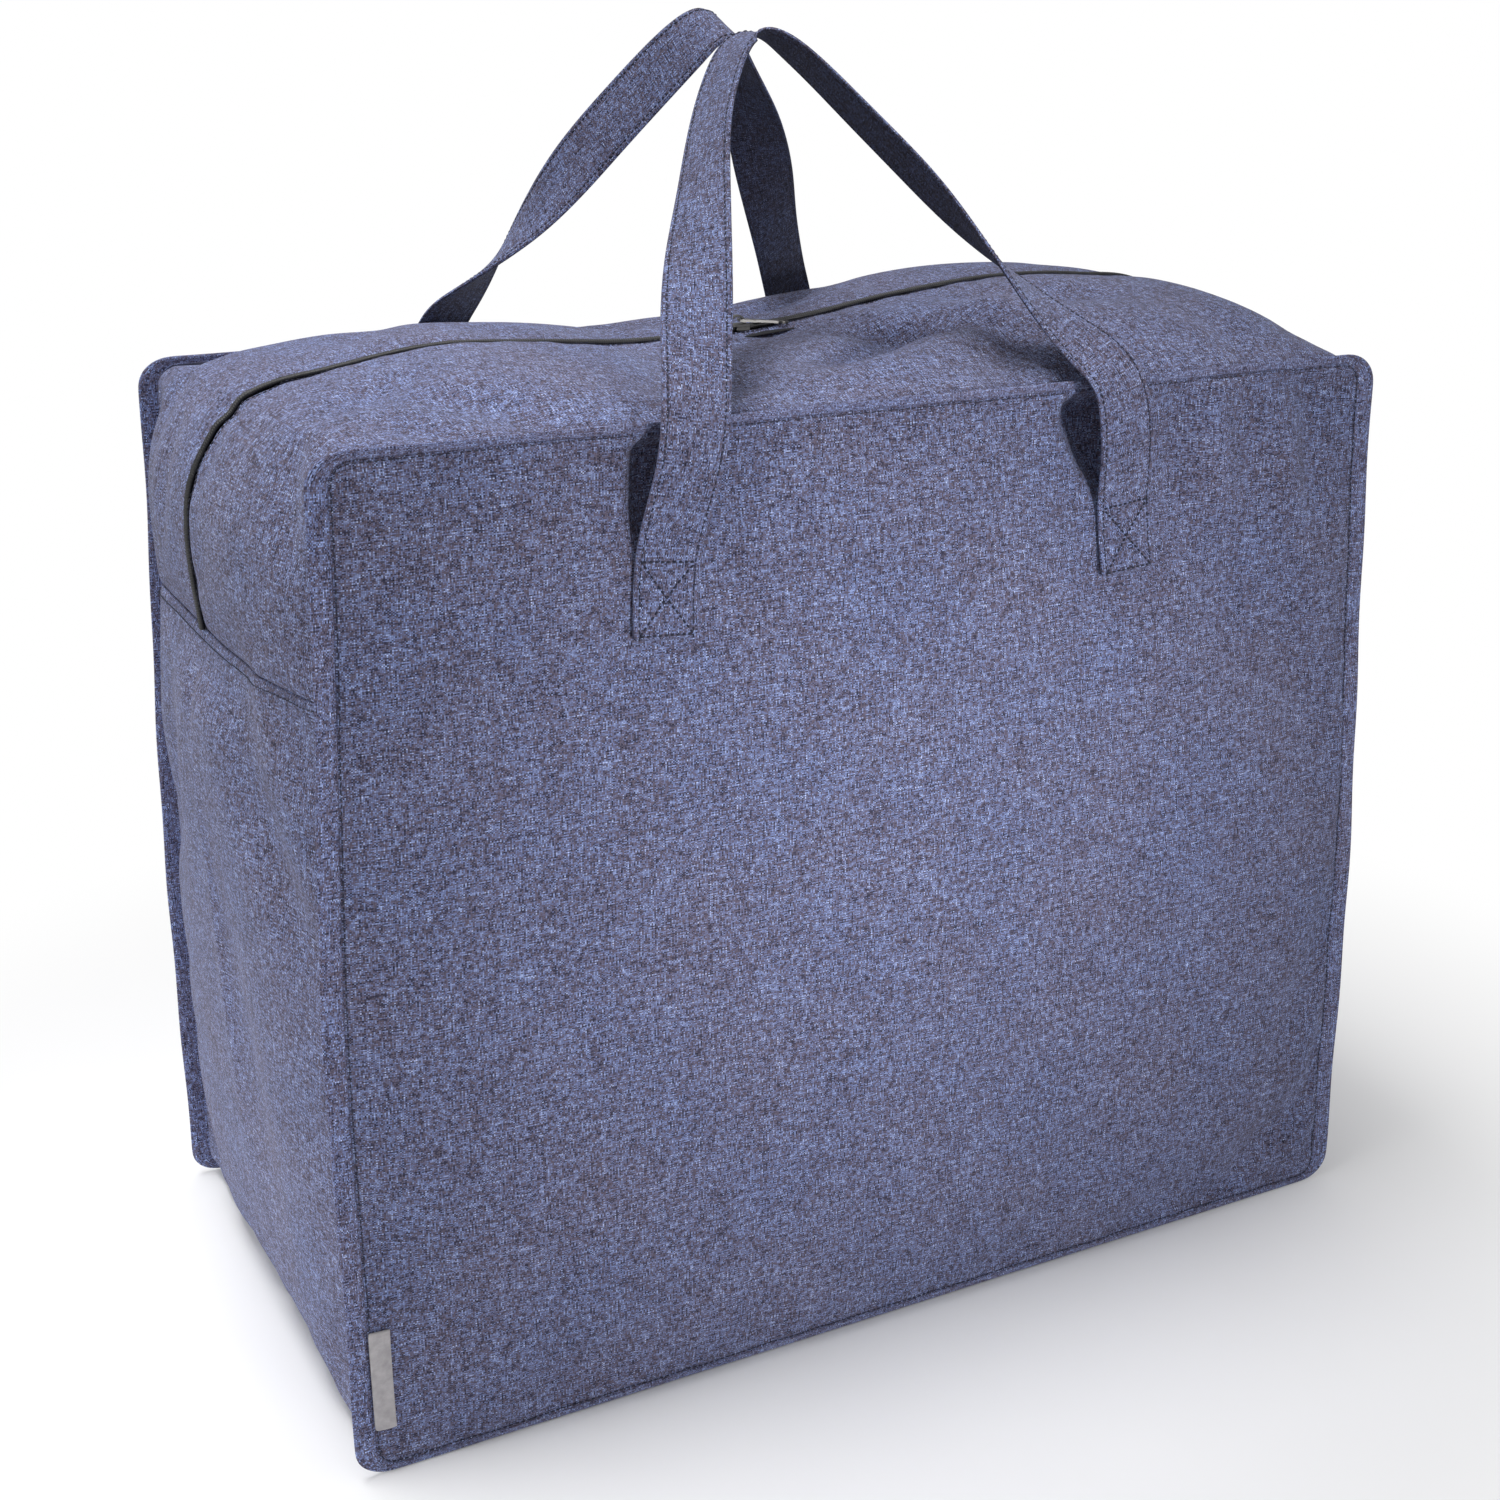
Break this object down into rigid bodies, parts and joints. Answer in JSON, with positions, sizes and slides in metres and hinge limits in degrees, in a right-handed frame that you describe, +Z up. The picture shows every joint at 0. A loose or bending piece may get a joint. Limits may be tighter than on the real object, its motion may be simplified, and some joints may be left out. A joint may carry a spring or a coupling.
{
  "type": "storage bag",
  "caption": "Box-shaped zipped fabric storage bag with bulging sides, piped edge seams, a two-way zip over the top and two carry handles that fold down.",
  "frame": {"origin": "centre of the base, on the floor", "axes": "+Z up, +X along the zip, the front panel faces -Y"},
  "size_m": [0.6204, 0.3418, 0.6747],
  "materials": {
    "panel_weave": "melange plain weave",
    "gusset_weave": "melange plain weave",
    "strap_weave": "melange plain weave, folded",
    "seam_weave": "rolled seam",
    "stitching": "sewing thread",
    "zip_tape": "woven tape",
    "zip_coil": "coiled filament",
    "zip_metal": "gunmetal",
    "label_ribbon": "satin ribbon"
  },
  "bodies": {
    "root": {"front_panel": "panel_weave", "rear_panel": "panel_weave", "lower_gusset": "gusset_weave", "front_gusset_left": "gusset_weave", "front_gusset_right": "gusset_weave", "rear_gusset_left": "gusset_weave", "rear_gusset_right": "gusset_weave", "front_edge_seam": "seam_weave", "rear_edge_seam": "seam_weave", "left_zip_tapes": "zip_tape", "right_zip_tapes": "zip_tape", "left_zip_coils": "zip_coil", "right_zip_coils": "zip_coil", "front_handle_left_end": "strap_weave", "front_handle_right_end": "strap_weave", "rear_handle_left_end": "strap_weave", "rear_handle_right_end": "strap_weave", "front_handle_stitching": "stitching", "rear_handle_stitching": "stitching", "side_label": "label_ribbon"},
    "front_lip_flap": {"front_lip": "gusset_weave", "front_zip_tape": "zip_tape", "front_zip_coil": "zip_coil"},
    "rear_lip_flap": {"rear_lip": "gusset_weave", "rear_zip_tape": "zip_tape", "rear_zip_coil": "zip_coil"},
    "right_slider_body": {"right_slider": "zip_metal"},
    "left_slider_body": {"left_slider": "zip_metal"},
    "right_tab_body": {"right_pull_tab": "zip_metal"},
    "left_tab_body": {"left_pull_tab": "zip_metal"},
    "front_handle_risers": {"front_handle_left_riser": "strap_weave", "front_handle_right_riser": "strap_weave"},
    "front_handle_top": {"front_handle_loop": "strap_weave"},
    "rear_handle_risers": {"rear_handle_left_riser": "strap_weave", "rear_handle_right_riser": "strap_weave"},
    "rear_handle_top": {"rear_handle_loop": "strap_weave"}
  },
  "joints": [
    {"name": "zip_open", "type": "slide", "parent": "root", "child": "right_slider_body", "axis": [1, 0, 0], "range_m": [0, 0.2734]},
    {"name": "left_zip_open", "type": "slide", "parent": "root", "child": "left_slider_body", "axis": [-1, 0, 0], "range_m": [0, 0.2414]},
    {"name": "front_lip_fold", "type": "hinge", "parent": "root", "child": "front_lip_flap", "pos_m": [0, -0.159, 0.4942], "axis": [-1, 0, 0], "range_deg": [0, 60], "deforming": ["front_zip_tape", "front_zip_coil"]},
    {"name": "rear_lip_fold", "type": "hinge", "parent": "root", "child": "rear_lip_flap", "pos_m": [0, 0.159, 0.4942], "axis": [1, 0, 0], "range_deg": [0, 60], "deforming": ["rear_zip_tape", "rear_zip_coil"]},
    {"name": "right_tab_flip", "type": "hinge", "parent": "right_slider_body", "child": "right_tab_body", "pos_m": [-0.0078, 0, 0.5184], "axis": [-0.2079, -0.9781, 0], "range_deg": [0, 95]},
    {"name": "left_tab_flip", "type": "hinge", "parent": "left_slider_body", "child": "left_tab_body", "pos_m": [-0.0242, 0, 0.5184], "axis": [-0.2079, 0.9781, 0], "range_deg": [0, 95]},
    {"name": "front_handle_swing", "type": "hinge", "parent": "root", "child": "front_handle_risers", "pos_m": [0, -0.1659, 0.4416], "axis": [1, 0, 0], "range_deg": [0, 169]},
    {"name": "front_handle_straighten", "type": "hinge", "parent": "front_handle_risers", "child": "front_handle_top", "pos_m": [0, -0.16983, 0.5049], "axis": [1, 0, 0], "range_deg": [0, 42]},
    {"name": "rear_handle_swing", "type": "hinge", "parent": "root", "child": "rear_handle_risers", "pos_m": [0, 0.1659, 0.4416], "axis": [-1, 0, 0], "range_deg": [0, 169]},
    {"name": "rear_handle_straighten", "type": "hinge", "parent": "rear_handle_risers", "child": "rear_handle_top", "pos_m": [0, 0.16983, 0.5049], "axis": [-1, 0, 0], "range_deg": [0, 42]}
  ],
  "couplings": [
    {"joint": "left_zip_open", "follows": "zip_open", "ratio": 0.88287},
    {"joint": "front_lip_fold", "follows": "zip_open", "rad_per_m": 3.8299},
    {"joint": "rear_lip_fold", "follows": "zip_open", "rad_per_m": 3.8299},
    {"joint": "front_handle_straighten", "follows": "front_handle_swing", "ratio": 0.2485},
    {"joint": "rear_handle_straighten", "follows": "rear_handle_swing", "ratio": 0.2485}
  ]
}
